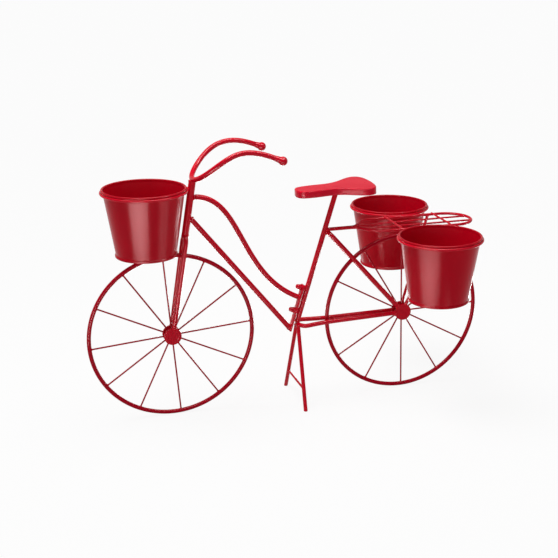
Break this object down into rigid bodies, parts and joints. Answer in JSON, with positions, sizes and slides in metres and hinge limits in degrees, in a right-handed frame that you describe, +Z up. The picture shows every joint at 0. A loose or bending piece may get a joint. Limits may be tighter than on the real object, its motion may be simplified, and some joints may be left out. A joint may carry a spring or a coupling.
{
  "type": "bicycle planter",
  "caption": "Miniature step-through bicycle in painted rod and wire whose wheels turn, carrying lift-out flower pots in rings at the front and over the rear wheel.",
  "frame": {"origin": "on the ground, midway between the two wheels, in the bicycle's middle plane", "axes": "+X from the front wheel to the rear wheel, +Y to the rider's right, +Z up; the rider's left is -Y"},
  "size_m": [0.639, 0.34, 0.4204],
  "materials": {
    "frame_enamel": "gloss red enamel on welded steel rod",
    "wheel_enamel": "gloss red enamel on steel wire",
    "sheet_enamel": "gloss red enamel on pressed steel sheet",
    "pot_enamel": "gloss red enamel on thin rolled steel sheet",
    "fastener_enamel": "gloss red enamel painted over the fasteners",
    "axle_steel": "bare drawn steel, hidden inside the hub"
  },
  "bodies": {
    "frame": {"steering_column": "frame_enamel", "fork": "frame_enamel", "handlebar": "frame_enamel", "grip_left": "frame_enamel", "grip_right": "frame_enamel", "top_tube": "frame_enamel", "down_tube": "frame_enamel", "seat_tube": "frame_enamel", "joining_strip": "frame_enamel", "upper_stud": "fastener_enamel", "lower_stud": "fastener_enamel", "upper_spacer": "fastener_enamel", "lower_spacer": "fastener_enamel", "upper_cap_nut": "fastener_enamel", "lower_cap_nut": "fastener_enamel", "saddle": "sheet_enamel", "chain_stays": "frame_enamel", "seat_stays": "frame_enamel", "kickstand_leg_left": "frame_enamel", "kickstand_leg_right": "frame_enamel", "kickstand_cross_wire": "frame_enamel", "rack_loop": "frame_enamel", "rack_wire_left": "frame_enamel", "rack_wire_right": "frame_enamel", "rack_cross_wire_front": "frame_enamel", "rack_cross_wire_rear": "frame_enamel", "rack_strut_left": "frame_enamel", "rack_strut_right": "frame_enamel", "front_axle": "axle_steel", "rear_axle": "axle_steel", "front_hub_disc_left": "frame_enamel", "front_hub_disc_right": "frame_enamel", "rear_hub_disc_left": "frame_enamel", "rear_hub_disc_right": "frame_enamel", "pot_ring_front": "frame_enamel", "pot_ring_rear_left": "frame_enamel", "pot_ring_rear_right": "frame_enamel"},
    "front_wheel": {"front_rim": "wheel_enamel", "front_spokes": "wheel_enamel"},
    "rear_wheel": {"rear_rim": "wheel_enamel", "rear_spokes": "wheel_enamel"},
    "front_pot": {"pot_front": "pot_enamel", "pot_front_base": "pot_enamel"},
    "rear_left_pot": {"pot_rear_left": "pot_enamel", "pot_rear_left_base": "pot_enamel"},
    "rear_right_pot": {"pot_rear_right": "pot_enamel", "pot_rear_right_base": "pot_enamel"}
  },
  "joints": [
    {"name": "front_wheel_spin", "type": "hinge", "parent": "frame", "child": "front_wheel", "pos_m": [-0.189, 0, 0.1305], "axis": [0, 1, 0], "continuous": true},
    {"name": "rear_wheel_spin", "type": "hinge", "parent": "frame", "child": "rear_wheel", "pos_m": [0.189, 0, 0.1305], "axis": [0, 1, 0], "continuous": true},
    {"name": "front_pot_lift", "type": "slide", "parent": "frame", "child": "front_pot", "axis": [0, 0, 1], "range_m": [0, 0.105]},
    {"name": "rear_left_pot_lift", "type": "slide", "parent": "frame", "child": "rear_left_pot", "axis": [0, 0, 1], "range_m": [0, 0.105]},
    {"name": "rear_right_pot_lift", "type": "slide", "parent": "frame", "child": "rear_right_pot", "axis": [0, 0, 1], "range_m": [0, 0.105]}
  ]
}
